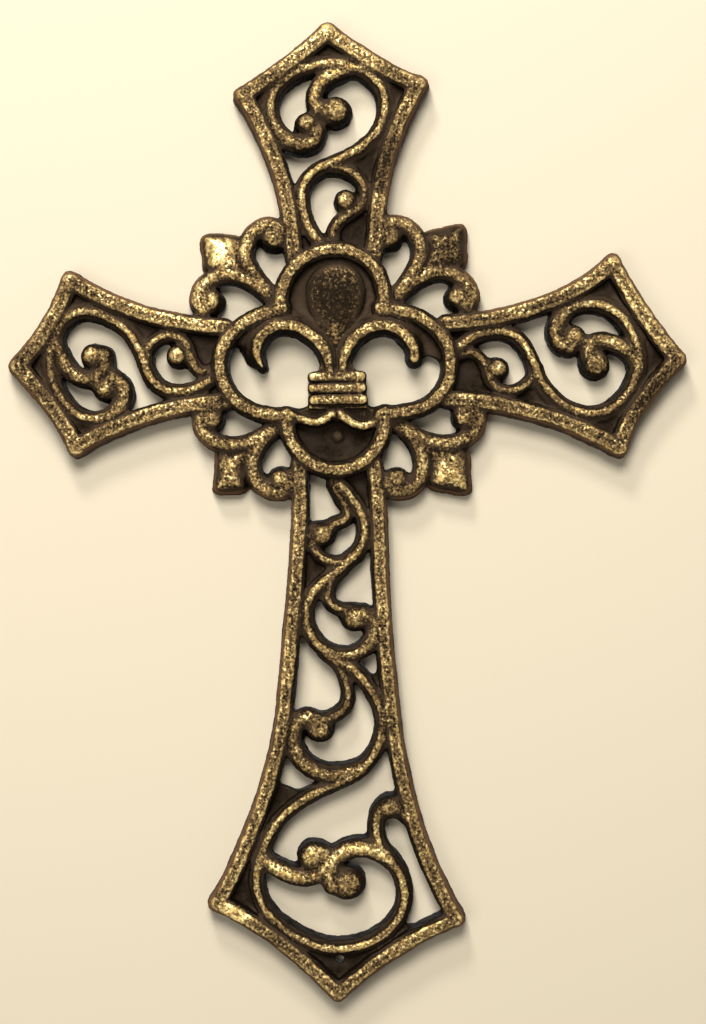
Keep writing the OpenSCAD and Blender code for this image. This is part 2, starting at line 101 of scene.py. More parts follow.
# An arm is [left rail, left tip rail, right tip rail, right rail, stem that
# ends in the left curl, hook that ends in the right ball, waist scroll,
# balls as [centre, radius]]. Its points are [across, along] from the origin.
TOP_ARM = [
    [[-10.4, 25], [-11.2, 32], [-11.6, 38], [-12.4, 44], [-13.9, 50],
     [-16, 56], [-18.6, 62], [-21.1, 67.3], [-23.7, 71.6]],
    [[-23.7, 71.6], [-17.6, 75.6], [-12, 79.4], [-6.5, 83.5], [-1, 88.2]],
    [[-1, 88.2], [4.5, 84.1], [10, 80.5], [15.6, 77.0], [22.9, 73.8]],
    [[22.9, 73.8], [20.4, 69.2], [17.6, 63.4], [15.3, 57.5], [13.3, 51],
     [12.2, 45], [11.5, 39], [11, 33], [10.3, 25.2]],
    [[-3, 31.2], [-6, 34.8], [-8, 39.3], [-8.7, 44], [-7.9, 48],
     [-5, 51.3], [0, 53.6], [5, 55.8], [9, 58.5], [12, 61.5],
     [13.8, 65.5], [14.2, 70], [12.8, 74], [9.5, 77.3], [5, 79.3],
     [0, 80], [-6, 79.2], [-11, 77], [-14.5, 74.3], [-16.3, 70.5],
     [-16.5, 66.5], [-15, 62.5], [-12, 59.6], [-8.5, 58.3],
     [-5.3, 59.3], [-4.2, 62]],
    [[6, 78.7], [2, 77.6], [-1.6, 76], [-4.2, 73], [-4.7, 70],
     [-2.8, 67.6], [0.8, 67.5]],
    [[0, 52.5], [3, 51.8], [5.8, 50.3], [7.9, 47.5], [8.4, 44.5],
     [7.5, 42], [5.5, 40.4], [3, 38.9], [1, 37.2], [-0.3, 34.8],
     [0.3, 31.5]],
    [[[-6.9, 64], 2.9], [[0.8, 67.3], 4], [[3.3, 43.2], 2.8]]
]
LEFT_ARM = [
    [[-9.9, 26.3], [-10.4, 33], [-10.9, 39], [-12, 45], [-13.5, 50.5],
     [-15.4, 56], [-17.3, 60.9], [-19.4, 65.6], [-21.8, 69.6]],
    [[-21.8, 69.6], [-17.3, 71.8], [-12, 75.2], [-6, 79.8], [0, 85]],
    [[0, 85], [5, 80.4], [10, 76.9], [15.9, 73.5], [22.5, 70.7]],
    [[22.5, 70.7], [19.5, 65.3], [16.7, 60], [14.7, 55], [12.9, 50],
     [11.9, 45], [10.8, 40], [9.9, 35], [9.5, 26.3]],
    [[-3, 32.3], [-5.5, 35], [-7, 39], [-7.4, 43.2], [-6.5, 46.6],
     [-4, 49.5], [0, 51], [5, 53], [9.4, 56], [12.3, 60],
     [14.2, 64.5], [14.2, 69], [12, 72.6], [8, 75], [4, 76.1],
     [0, 76.4], [-4.5, 75.6], [-8.5, 73.8], [-11.7, 71.2], [-13.9, 67.8],
     [-14.5, 64.3], [-13.6, 60.8], [-11.5, 58.2], [-8.7, 56.9],
     [-5.6, 57.4], [-3.5, 59.8]],
    [[7, 75], [3, 73.6], [-0.3, 72], [-2.7, 69.5], [-3.6, 66.5],
     [-2.9, 63.6], [-0.3, 61.9], [2.8, 62]],
    [[1, 51], [4.5, 50.2], [6.9, 47.7], [7.8, 44.6], [7.2, 41.8],
     [5.3, 40], [2.8, 39], [0.4, 38.3], [-1.7, 36.7], [-2.2, 34.5],
     [-1.3, 31.8]],
    [[[-6.3, 61.9], 3], [[2.5, 65], 3.1], [[2.2, 42.4], 2.7]]
]
RIGHT_ARM = [
    [[-9.8, 26.4], [-10.2, 34], [-10.7, 40], [-11.7, 45.5], [-13.1, 51],
     [-14.8, 56.5], [-17, 62], [-20, 67.7], [-25.2, 74.4]],
    [[-25.2, 74.4], [-20, 77.3], [-14, 80.6], [-7.5, 84.9], [0.5, 91.3]],
    [[0.5, 91.3], [5, 87], [10, 82.9], [15, 78.9], [19.5, 76.9], [23.7, 75.4]],
    [[23.7, 75.4], [20.4, 69.2], [17.9, 63.7], [15.9, 58.7], [14.3, 53.5],
     [12.8, 48], [11.7, 43], [10.9, 38], [10.6, 33], [10, 26.6]],
    [[-3, 32.5], [-5.7, 35.7], [-7.4, 40], [-7.7, 44], [-6.8, 47.7],
     [-4.3, 50.4], [0, 52.6], [5, 54.5], [9, 57.3], [12.2, 60.7],
     [14.1, 65], [14.7, 69], [13.7, 73], [11, 76.7], [7, 79.5],
     [2, 81], [-3, 80.6], [-8, 78.8], [-12, 75.5], [-14.3, 71.5],
     [-14.8, 67], [-13.7, 63], [-11, 60.3], [-7.5, 59], [-4.3, 60.1],
     [-3.2, 62.6]],
    [[3, 81], [0, 79.7], [-2.5, 77.5], [-4.1, 74.5], [-4.8, 71.5],
     [-4, 68.7], [-1.2, 67.7], [1.5, 69.5]],
    [[2.5, 53.8], [5.5, 52.2], [7.5, 49.6], [8.3, 46.5], [7.7, 43.5],
     [5.6, 41.5], [2.6, 40.5], [0, 39.2], [-1.9, 37], [-2, 34.5],
     [-1, 32]],
    [[[-5.9, 63.8], 3.1], [[1.5, 69.7], 3.6], [[2.3, 43.4], 2.7]]
]
# First and last point of an arm's stem that its tip web runs along, and where
# its webs run in under the ring on the right and the left
STEM_WEB = [7, 22]
WAIST_RIGHT = [[9, 28.6], [1, 29.2]]
WAIST_LEFT = [[-3, 29.2], [-9.4, 28.6]]

# The long lower arm, in [across, up]: rails, the chain of two S scrolls,
# branches as [section, points], and balls as [centre, radius]
LOW_LEFT = [
    [-10.2, -23.4], [-9.9, -34], [-9.9, -41], [-10.6, -49], [-11.2, -57],
    [-12, -65], [-12.9, -73], [-13.6, -81], [-14.6, -89], [-15.3, -96.5],
    [-16.9, -104], [-19.2, -112], [-22, -120], [-25.1, -127.5],
    [-28.7, -136], [-33.4, -144.3]]
LOW_TIP_LEFT = [
    [-33.4, -144.3], [-28, -147.2], [-22, -150.9], [-16, -155.4],
    [-10.5, -160.2], [-6, -164.3], [-1.5, -168.7]]
LOW_TIP_RIGHT = [
    [-1.5, -168.7], [3, -165], [8, -161.2], [14, -157.2], [20, -153.8],
    [25.5, -151.3], [30.1, -149.2]]
LOW_RIGHT = [
    [9.6, -23.4], [10.6, -34], [10.9, -42], [11, -50], [11.3, -58],
    [11.6, -66], [12, -74], [12.6, -82], [13.4, -90], [14, -98],
    [15.2, -106], [17, -114.5], [19, -122.5], [21.5, -130.5],
    [25.0, -139], [30.1, -149.2]]
LOW_UPPER_S = [
    [0.8, -33], [3.8, -36.4], [6, -39.7], [7.3, -44], [6.7, -48.3],
    [4.6, -51.6], [1.2, -54.6], [-2.2, -57.2], [-5.5, -60.1],
    [-8, -63.3], [-9, -67], [-8.4, -71], [-6.5, -74.6], [-3.5, -77.3],
    [0.3, -78.5], [4.2, -78.2], [7.4, -76.3], [9.3, -73.2],
    [9.2, -69.8], [6.5, -67.6]]
LOW_LOWER_S = [
    [-3, -78.2], [0.5, -80.3], [4, -82.5], [6.8, -85.8], [9.4, -89.7],
    [11.1, -93.8], [11.4, -98], [10.5, -102.2], [8.3, -106],
    [4.9, -109.6], [0.8, -111.9], [-4, -114], [-8.7, -116.2],
    [-13, -119], [-16.7, -122.3], [-19.6, -126.5], [-21.6, -131.5],
    [-23, -137], [-22.7, -142], [-20.6, -146.7], [-17, -150.5],
    [-12, -153.9], [-6, -156.4], [0, -157], [6, -155.9], [11, -153.2],
    [14.7, -149.4], [16.6, -145], [16.5, -140.5], [14.8, -136],
    [11.8, -132.7], [8, -130.6], [4, -130.1], [0.6, -131],
    [-2.2, -133.3], [-3.6, -136.5], [-2.7, -140.2]]
LOW_BRANCHES = [
    [FINE, [[-0.6, -29.5], [-0.8, -33], [0.8, -36.3], [2.7, -39.4],
            [2, -42], [-1, -43.4], [-3.6, -45.2]]],
    [FINE, [[4.6, -51.8], [2, -53.2], [-1, -53.6], [-4, -52.6],
            [-6.3, -50.3], [-7.5, -47.4], [-6.5, -44.8]]],
    [FINE, [[1, -55.2], [-1.4, -57.9], [-2.8, -61], [-2.6, -64],
            [-0.3, -66], [3, -66.8]]],
    [FINE, [[-3.6, -78.2], [-0.6, -81], [1.1, -84.3], [2.1, -88],
            [1.8, -91.6], [-0.6, -94.2], [-4.4, -96]]],
    [BROAD, [[5.5, -108.6], [1.5, -110], [-2.5, -110.4], [-6.2, -109.6],
             [-9.7, -107.4], [-12.1, -104], [-12.9, -100.3],
             [-11.9, -97], [-9.2, -95.2], [-6.2, -96.4]]],
    [BROAD, [[-21.5, -132.5], [-18, -135], [-14, -137.1],
             [-10, -137.9], [-6.2, -136.8], [-4.4, -134],
             [-5.2, -131.4], [-7.4, -131]]],
    [SCROLL, [[17.5, -122.2], [15.5, -119.8], [12.7, -118.9],
              [10.3, -120.2], [9.3, -123.2], [9.3, -126.8],
              [10.6, -130.4], [12.8, -133.6]]]
]
LOW_BALLS = [
    [[-4.2, -46.2], 3], [[4.2, -68.6], 3.3], [[-5.6, -98.2], 3.4],
    [[-8.2, -132.2], 3.5], [[1.5, -139.6], 4.5], [[13, -119.4], 2.9]]
TIP_HOLE, TIP_HOLE_RADIUS = [-1, -160.3], 1.1

# The ring's lobes, the fleur-de-lis in it, and the corner clusters
RING_TOP = [
    [-14.8, 14.5], [-13.9, 20], [-11.9, 24], [-8.8, 27.2], [-4.8, 29.3],
    [0, 30], [4.8, 29.3], [8.9, 27], [11.8, 23.2], [13, 19],
    [13.4, 13.7]]
RING_RIGHT = [
    [11.9, 14.2], [17, 13.4], [22, 11.9], [26.5, 8.9], [29.6, 4.7],
    [30.7, 0], [30.1, -5], [27.7, -9.2], [24, -12.1], [18.8, -13.6],
    [11.8, -14.4]]
RING_BOTTOM = [
    [12.9, -13.8], [12.7, -18.5], [11.2, -22.5], [8.4, -25.9],
    [4.5, -28.2], [0, -29], [-4.5, -28.3], [-8.6, -25.8],
    [-11.5, -22.3], [-13, -18.5], [-13.5, -13.9]]
RING_LEFT = [
    [-12.3, -14.5], [-18.5, -13.9], [-23.3, -12.5], [-27.2, -9.7],
    [-29.9, -5.7], [-31, -1.2], [-30.6, 3], [-28.4, 7], [-24.6, 10.4],
    [-19.8, 12.7], [-13.8, 14.2]]
PETAL_LEFT = [
    [-1.6, -2.6], [-2.4, 1.2], [-4.2, 4.6], [-6.9, 7.2], [-10.3, 9.1],
    [-14.3, 9.7], [-17.9, 8.4], [-20.3, 5.5], [-20.8, 2], [-19.7, -1]]
PETAL_RIGHT = [
    [1.8, -2.6], [2.4, 1.2], [4.4, 5], [7.4, 7.7], [11.3, 9.2],
    [15.2, 8.8], [18.6, 6.5], [20.8, 3.3], [21, 0.6]]
SHIELD = [
    [0.2, 0.5], [2.6, 5], [5.6, 10], [7.6, 15], [8.2, 19.5],
    [6.6, 24], [3, 26.8], [-1.5, 26.8], [-5.6, 24.3], [-7.7, 20],
    [-7.3, 15], [-5.2, 10], [-2.4, 5]]
# Each tie band as [left end, right end, up]
BANDS = [[-7.3, 7.9, -4.1], [-7.4, 8, -7.1], [-7.2, 8.2, -10.2]]
STEM = [[-2.6, 1.5], [2.6, 1.5], [5.4, -2.4], [7.8, -3], [8.3, -12.6],
        [-7.5, -12.6], [-7.2, -3], [-4.8, -2.4]]
FOOT_RIMS = [
    [[-12.6, -14.1], [-10, -15], [-6.8, -16], [-3.8, -15.7], [-1, -14]],
    [[1.2, -14], [3.6, -16], [6.7, -17.2], [9.7, -16.4], [12.2, -14.1]]]
FOOT_BUMP = [0.3, -19.8]
# A corner is [upright curl, level curl, balls as [centre, radius], leaf]
CORNERS = [
    [[[14.6, 15.6], [17.6, 19], [20.5, 22.9], [22.6, 27], [22.9, 31.2],
      [20.8, 35], [17.2, 37], [13.6, 36.4], [12.2, 34.2]],
     [[15.6, 16], [19, 19.6], [23, 22.5], [27.4, 23.9], [31.6, 23.2],
      [35, 20.8], [36.5, 17.3], [35.3, 14.6]],
     [[[14.9, 33.2], 3], [[32.8, 17], 3]],
     [[20, 22], [24, 29], [24.8, 34], [29.5, 35.6], [34.6, 36.2],
      [35.1, 31], [34.5, 25.5], [27, 23]]],
    [[[-14.6, 15.6], [-18.4, 19.8], [-21.8, 24], [-23.8, 28.3],
      [-23.3, 32.2], [-21, 35.5], [-17.5, 36.8], [-14.2, 35.6]],
     [[-15.6, 16], [-19, 19.3], [-22.8, 22.2], [-27, 23.7],
      [-31.3, 23.3], [-35, 21], [-36.6, 17.3], [-35.4, 14.4]],
     [[[-16.2, 33.3], 3.2], [[-33, 16.7], 3]],
     [[-20, 22], [-24.6, 28.5], [-25, 33], [-29.5, 34.6], [-35, 34.2],
      [-35.1, 29], [-34, 24.8], [-27, 23]]],
    [[[-14.6, -16], [-18.2, -19], [-21.2, -22.6], [-22.7, -27],
      [-21.7, -31.2], [-18.5, -33.9], [-14.8, -34.3], [-12.9, -32.5]],
     [[-15.6, -16.6], [-19.5, -19.4], [-24, -21.4], [-28.5, -21.9],
      [-32.7, -20.8], [-35.6, -18], [-36.3, -14.6], [-34.5, -12.4]],
     [[[-15.2, -31.2], 3.1], [[-33.3, -14.7], 3]],
     [[-20, -21], [-24.3, -29], [-25, -33.6], [-29, -34.4],
      [-32.8, -33.8], [-32.4, -29], [-31.8, -24], [-27, -22]]],
    [[[14.8, -16], [18.6, -18.6], [21.6, -22.2], [22.9, -26.8],
      [22.1, -31.3], [19.2, -34.2], [15.6, -34.6], [13.4, -32.8]],
     [[16.4, -16.6], [20.7, -19.7], [25, -21.6], [29.6, -22.2],
      [34, -21.2], [37, -18.6], [37.9, -15], [36.2, -12.7]],
     [[[15.9, -31.8], 3.1], [[34.4, -15.1], 3.2]],
     [[20, -21], [24.3, -28], [25, -33.3], [30, -34.7],
      [35.2, -35.2], [35.4, -30], [34.5, -24.3], [27.5, -22.5]]]
]


# ---- shapes ----

def span(a, b, c, d, step=0.7):
    """Points about a step apart from b up to c, on the smooth curve through all four."""
    n = max(1, int(np.linalg.norm(c - b) / step + 0.5))
    return [(2 * b + (c - a) * t + (2 * a - 5 * b + 4 * c - d) * t * t
             + (3 * b - a - 3 * c + d) * t ** 3) / 2 for t in np.arange(n) / n]


def curve(points):
    """The smooth curve through the points."""
    p = [np.array(q, float) for q in points]
    p = [2 * p[0] - p[1], *p, 2 * p[-1] - p[-2]]
    out = []
    for four in zip(p, p[1:], p[2:], p[3:]):
        out += span(*four)
    return np.array([*out, p[-2]])


def fair(line, passes=60):
    """The line with its small wobbles smoothed out, its ends kept."""
    for _ in range(passes):
        line[1:-1] = (line[:-2] + 2 * line[1:-1] + line[2:]) / 4
    return line


def closed(points):
    """The smooth curve through the points and back to the first."""
    p = [np.array(q, float) for q in points]
    out = []
    for i in range(len(p)):
        out += span(*(p[(i + k) % len(p)] for k in (-1, 0, 1, 2)))
    return np.array(out)


def turned(points, quarter):
    """Arm points turned from the upright to the arm's own direction."""
    p = np.array(points, float)
    return {0: p, 1: np.stack([-p[:, 1], p[:, 0]], 1),
            -1: np.stack([p[:, 1], -p[:, 0]], 1)}[quarter]


# ---- the sculpting grid ----

class Clay:
    """A field on a grid, below zero inside the casting. Shapes are added to it in mm."""

    def __init__(self, lo, hi):
        self.lo = np.array([lo.x, lo.z, 0]) / MM - MARGIN
        self.lo[2] = -DEPTH_MARGIN
        hi = np.array([hi.x / MM + MARGIN, hi.z / MM + MARGIN, -lo.y / MM + DEPTH_MARGIN])
        self.size = np.ceil((hi - self.lo) / CELL).astype(int) + 1
        self.across = self.lo[0] + CELL * np.arange(self.size[0])
        self.up = self.lo[1] + CELL * np.arange(self.size[1])
        self.rise = (self.lo[2] + CELL * np.arange(self.size[2])).astype(np.float32)
        self.field = np.full((self.size[0] * self.size[1], self.size[2]), REACH, np.float32)

    def window(self, lo, hi):
        """Index ranges of the cells round a box of the face."""
        a = np.clip(np.floor((np.array(lo) - REACH - self.lo[:2]) / CELL), 0, self.size[:2] - 1)
        b = np.clip(np.ceil((np.array(hi) + REACH - self.lo[:2]) / CELL) + 1, 1, self.size[:2])
        return int(a[0]), int(b[0]), int(a[1]), int(b[1])

    def columns(self, w):
        """Flat indices of a window's columns."""
        return (np.arange(w[0], w[1])[:, None] * self.size[1]
                + np.arange(w[2], w[3])[None, :]).ravel()

    def add(self, columns, shape, blend):
        """Joins a shape's field to the clay with a fillet of about the blend's size."""
        old = self.field[columns]
        h = np.clip(blend - np.abs(old - shape), 0, None) / blend
        self.field[columns] = np.minimum(old, shape) - h * h * blend * 0.25

    def cut(self, columns, shape, blend):
        """Takes a shape away, its rim rounded."""
        old = self.field[columns]
        h = np.clip(blend - np.abs(old + shape), 0, None) / blend
        self.field[columns] = np.maximum(old, -shape) + h * h * blend * 0.25


def along(clay, line):
    """Distance to a line, which side of it, and how far along it, on its window."""
    w = clay.window(line.min(0), line.max(0))
    u, v = clay.across[w[0]:w[1]], clay.up[w[2]:w[3]]
    dist = np.full((len(u), len(v)), 99.0)
    side, place = np.zeros_like(dist), np.zeros_like(dist)
    lengths = np.linalg.norm(np.diff(line, axis=0), axis=1)
    starts = np.concatenate([[0], np.cumsum(lengths)])
    for p, q, size, start in zip(line, line[1:], lengths, starts):
        s = clay.window(np.minimum(p, q), np.maximum(p, q))
        cut = np.s_[s[0] - w[0]:s[1] - w[0], s[2] - w[2]:s[3] - w[2]]
        x = clay.across[s[0]:s[1], None] - p[0]
        y = clay.up[None, s[2]:s[3]] - p[1]
        d = (q - p) / size
        t = np.clip(x * d[0] + y * d[1], 0, size)
        r = np.hypot(x - t * d[0], y - t * d[1])
        near = r < dist[cut]
        dist[cut] = np.where(near, r, dist[cut])
        side[cut] = np.where(near, d[0] * y - d[1] * x, side[cut])
        place[cut] = np.where(near, start + t, place[cut])
    return w, dist, side, place, starts[-1]


def rounded(side, top, radius):
    """Where a slope and a top meet in a rounded edge."""
    a, b = side + radius, top + radius
    return np.hypot(np.maximum(a, 0), np.maximum(b, 0)) + np.minimum(np.maximum(a, b), 0) - radius


def flank(off, foot, top, height, rise):
    """A drafted wall with a bevel above it, off from a raised line's middle."""
    shoulder = top + BEVEL * (foot - top)
    lean = (foot - shoulder) / (height - STEEP * (shoulder - top))
    wall = (off - foot + lean * rise) / np.sqrt(1 + lean * lean)
    bevel = (off - top - (height - rise) / STEEP) / math.hypot(1, 1 / STEEP)
    return np.maximum(wall, bevel)


def ridge(clay, line, style, blend=FILLET, thin=(0, 0), run=7.0):
    """A drafted line with a rounded top. thin slims its two ends over the run's length."""
    w, dist, side, place, length = along(clay, line)
    left, right, top, height, radius = style
    keep = (dist < REACH).ravel()
    columns = clay.columns(w)[keep]
    dist, side, place = (a.ravel()[keep][:, None].astype(np.float32)
                         for a in (dist, side, place))
    mix = np.clip(side / 1.2 + 0.5, 0, 1)
    foot = right + (left - right) * mix
    if left == right:
        slope = flank(dist, left, top, height, clay.rise)
    else:                  # a lopsided line ends with its narrow side all round
        slender = min(left, right)
        ends = np.clip(np.minimum(place, length - place) / run, 0, 1)
        lean = (slender + (foot - slender) * ends - top) / height
        slope = (dist - top - lean * (height - clay.rise)) / np.sqrt(1 + lean * lean)
    slim = (thin[0] * np.clip(1 - place / run, 0, 1) ** 1.5
            + thin[1] * np.clip(1 - (length - place) / run, 0, 1) ** 1.5)
    clay.add(columns, rounded(slope + slim, clay.rise - height + slim, radius), blend)


def point(clay, before, after, style):
    """The pointed corner where two rails meet: where both, carried on straight, overlap."""
    tip = before[-1]
    w = clay.window(tip, tip)
    u = clay.across[w[0]:w[1], None] - tip[0]
    v = clay.up[None, w[2]:w[3]] - tip[1]
    foot, _, top, height, radius = style
    bars = []
    for step in (tip - before[-3], after[2] - tip):
        d = step / np.linalg.norm(step)
        off = np.abs(u * d[1] - v * d[0]).ravel()[:, None].astype(np.float32)
        bars.append(flank(off, foot, top, height, clay.rise))
    corner_field = rounded(*bars, CORNER_ROUND)
    clay.add(clay.columns(w), rounded(corner_field, clay.rise - height, radius), 0.4)


def ball(clay, centre, radius, top=BALL_TOP, blend=1.5):
    """A ball on a drafted post as wide as the ball."""
    c = np.array(centre, float)
    w = clay.window(c - radius, c + radius)
    columns = clay.columns(w)
    u = clay.across[w[0]:w[1], None] - c[0]
    v = clay.up[None, w[2]:w[3]] - c[1]
    d = np.hypot(u, v).ravel()[:, None].astype(np.float32)
    middle = top - radius
    over = np.hypot(d, clay.rise - middle) - radius
    under = d - radius - BALL_DRAFT * np.maximum(middle - clay.rise, 0)
    clay.add(columns, np.where(clay.rise > middle, over, under), blend)


def inside(clay, outline):
    """Distance to an outline, below zero inside it, on its window."""
    w = clay.window(outline.min(0), outline.max(0))
    x, y = clay.across[w[0]:w[1], None], clay.up[None, w[2]:w[3]]
    dist = np.full((w[1] - w[0], w[3] - w[2]), 99.0)
    odd = np.zeros(dist.shape, bool)
    for p, q in zip(outline, np.roll(outline, -1, 0)):
        d = q - p
        size = max(d @ d, 1e-9)
        t = np.clip(((x - p[0]) * d[0] + (y - p[1]) * d[1]) / size, 0, 1)
        dist = np.minimum(dist, np.hypot(x - p[0] - t * d[0], y - p[1] - t * d[1]))
        if p[1] != q[1]:
            crossing = p[0] + (y - p[1]) * d[0] / d[1]
            odd ^= ((p[1] > y) != (q[1] > y)) & (x < crossing)
    return w, np.where(odd, -dist, dist)


def web(clay, outline, height=WEB, blend=1.6, bank=None, bank_rise=3.0, run=5.5):
    """A web between the raised lines, with fillets up to them. A bank is a line that
    the web climbs to over the run."""
    w, d = inside(clay, np.array(outline, float))
    top = np.full(d.shape, float(height))
    if bank is not None:
        s, dist, *_ = along(clay, bank)
        whole = np.full((clay.size[0], clay.size[1]), REACH)
        whole[s[0]:s[1], s[2]:s[3]] = np.minimum(dist, REACH)
        near = np.clip(1 - whole[w[0]:w[1], w[2]:w[3]] / run, 0, 1)
        top += bank_rise * near * near * (3 - 2 * near)
    d, top = (a.ravel()[:, None].astype(np.float32) for a in (d, top))
    clay.add(clay.columns(w), rounded(d, clay.rise - top, 0.5), blend)


def dome(clay, outline, edge, height, depth, blend=0.6):
    """A pillow whose top curves up from the edge's height as far in as its depth."""
    foot, draft, fall, radius = 0.9, 0.15, 0.8, 0.7
    w, d = inside(clay, outline)
    d = d.ravel()[:, None].astype(np.float32)
    t = np.clip(-d / depth, 0, 1)
    top = edge + (height - edge) * np.sqrt(1 - (1 - t) ** 2)
    wall_field = d - foot + draft * clay.rise
    clay.add(clay.columns(w), rounded(wall_field, (clay.rise - top) * fall, radius), blend)


def hole(clay, centre, radius):
    """A hole right through."""
    c = np.array(centre, float)
    w = clay.window(c, c)
    u = clay.across[w[0]:w[1], None] - c[0]
    v = clay.up[None, w[2]:w[3]] - c[1]
    d = (np.hypot(u, v) - radius).ravel()[:, None].astype(np.float32)
    clay.cut(clay.columns(w), d, 0.4)


# ---- sub-parts ----

def rails(clay, lines, style):
    """Four rails round an arm with points between them, slimmed where they meet the ring."""
    lines = [fair(curve(line)) for line in lines]
    for line, thin in zip(lines, ((RAIL_THIN, 0), (0, 0), (0, 0), (0, RAIL_THIN))):
        ridge(clay, line, style, RAIL_FILLET, thin, RAIL_RUN)
    for p, q in zip(lines, lines[1:]):
        point(clay, p, q, style)


def arm(clay, a, quarter):
    """A flared arm: rails round it, an S of scroll work with balls inside."""
    rails(clay, [turned(r, quarter) for r in a[:4]], RAIL)
    stem, hook, waist = (a[k] for k in (4, 5, 6))
    ridge(clay, fair(curve(turned(stem, quarter)), 8), SCROLL)
    ridge(clay, curve(turned(stem[-6:], quarter)), CURL, thin=(1.0, 0))
    ridge(clay, curve(turned(hook, quarter)), CURL, thin=(0.8, 0))
    ridge(clay, curve(turned(waist, quarter)), FINE, thin=(0, 0.2))
    for centre, radius in a[7]:
        ball(clay, turned([centre], quarter)[0], radius)
    web(clay, turned(a[0][5:-1] + a[1] + a[2][1:] + a[3][1:-1] + WAIST_RIGHT
                     + waist[1:-1][::-1] + stem[STEM_WEB[0]:STEM_WEB[1] + 1], quarter),
        bank=curve(turned(stem[STEM_WEB[0]:STEM_WEB[1] + 1], quarter)))
    web(clay, turned(a[0][1:4] + stem[3:0:-1] + WAIST_LEFT, quarter))


def lower_arm(clay):
    """The long arm: slim rails round a chain of scrolls."""
    rails(clay, (LOW_LEFT, LOW_TIP_LEFT, LOW_TIP_RIGHT, LOW_RIGHT[::-1]), SLIM)
    ridge(clay, fair(curve(LOW_UPPER_S), 8), SCROLL)
    ridge(clay, fair(curve(LOW_LOWER_S), 8), SCROLL)
    for style, points in LOW_BRANCHES:
        ridge(clay, curve(points), style, thin=(0.5, 0) if style is BROAD else (0, 0))
    ridge(clay, curve(LOW_UPPER_S[-5:]), CURL, thin=(1.0, 0))
    ridge(clay, curve(LOW_LOWER_S[-8:]), BROAD, thin=(1.2, 0.3))
    for centre, radius in LOW_BALLS:
        ball(clay, centre, radius)
    web(clay, LOW_LEFT[11:15] + LOW_TIP_LEFT + LOW_TIP_RIGHT[1:5] + LOW_LOWER_S[26:11:-1],
        bank=curve(LOW_LOWER_S[12:27]), bank_rise=1.5, run=4.0)
    web(clay, LOW_LEFT[2:6] + LOW_UPPER_S[10:5:-1] + LOW_BRANCHES[1][1][1:6])
    web(clay, LOW_RIGHT[1:4] + LOW_UPPER_S[4:0:-1] + [[0, -33], [0, -29.8], [9.5, -28.8]])
    web(clay, LOW_RIGHT[7:10] + LOW_LOWER_S[5:2:-1])
    hole(clay, TIP_HOLE, TIP_HOLE_RADIUS)


def ring(clay):
    """The four-lobed ring."""
    for lobe in (RING_TOP, RING_RIGHT, RING_BOTTOM, RING_LEFT):
        ridge(clay, fair(curve(lobe), 8), RING, 0.7)


def fleur(clay):
    """The fleur-de-lis: petals, shield, banded stem and two-lobed foot."""
    web(clay, [[0, -2]] + PETAL_LEFT[2:8] + [[-25.5, 5.2]] + RING_LEFT[7:10] + RING_TOP[1:10]
        + RING_RIGHT[1:6] + [[26, 1.2]] + PETAL_RIGHT[7:1:-1], RING_WEB, RING_WEB_FILLET)
    web(clay, RING_BOTTOM[1:10] + [[-12.2, -13], [-7, -11.4], [8, -11.4], [11.6, -13]])
    dome(clay, closed(SHIELD), 5.0, 8.8, 6.0, 1.4)
    ridge(clay, curve(PETAL_LEFT), PETAL_L, 1.4, thin=(0.3, 0.9))
    ridge(clay, curve(PETAL_RIGHT), PETAL_R, 1.4, thin=(0.3, 0.0))
    web(clay, STEM, 8.2, 0.8)
    for left, right, at in BANDS:
        ridge(clay, np.array([[left + 1.2, at], [0, at], [right - 1.2, at]]), BAND, 0.5)
    web(clay, FOOT_RIMS[0][1:4] + FOOT_RIMS[1][1:4]
        + [[10.6, -13.2], [7.5, -11.8], [-6.5, -11.8], [-11, -13.2]], 6.6, 1.0)
    for rim in FOOT_RIMS:
        ridge(clay, curve(rim), RIM, 0.6)
    ball(clay, FOOT_BUMP, 1.7, 4.9, 0.6)


def corner(clay, c):
    """A pair of curls with balls, and the leaf between them."""
    dome(clay, closed(c[3]), 4.2, 7.6, 4.5)
    for curl in c[:2]:
        ridge(clay, curve(curl), CURL, 0.9, thin=(0.5, -0.2))
    for centre, radius in c[2]:
        ball(clay, centre, radius)


def wavy(rng, shape, size):
    """A seeded smooth random sheet with bumps about the given size in mm."""
    half = max(1, int(size / CELL / 2))
    sheet = rng.standard_normal((shape[0] + 6 * half, shape[1] + 6 * half))
    for _ in range(3):
        for axis in (0, 1):
            total = np.cumsum(sheet, axis)
            n = 2 * half
            sheet = (np.take(total, range(n, total.shape[axis]), axis)
                     - np.take(total, range(0, total.shape[axis] - n), axis))
    sheet = sheet[:shape[0], :shape[1]]
    return (sheet / sheet.std()).astype(np.float32).reshape(-1, 1)


def roughen(clay):
    """The unevenness of a sand mould, from sheets of three sizes that change with height."""
    rng = np.random.default_rng(11)
    shape = clay.size[:2]
    for size, depth in ((5.0, 0.05), (2.2, 0.05), (1.1, 0.045)):
        turn = clay.rise * (2 * math.pi / (size * 4))
        clay.field += depth * (wavy(rng, shape, size) * np.cos(turn)
                               + wavy(rng, shape, size) * np.sin(turn))


def sculpt(lo, hi):
    """The whole casting as a field, its back cut flat after everything is on."""
    clay = Clay(lo, hi)
    arm(clay, TOP_ARM, 0)
    arm(clay, LEFT_ARM, 1)
    arm(clay, RIGHT_ARM, -1)
    lower_arm(clay)
    ring(clay)
    fleur(clay)
    for c in CORNERS:
        corner(clay, c)
    roughen(clay)
    clay.field = np.maximum(clay.field, -clay.rise)
    return clay


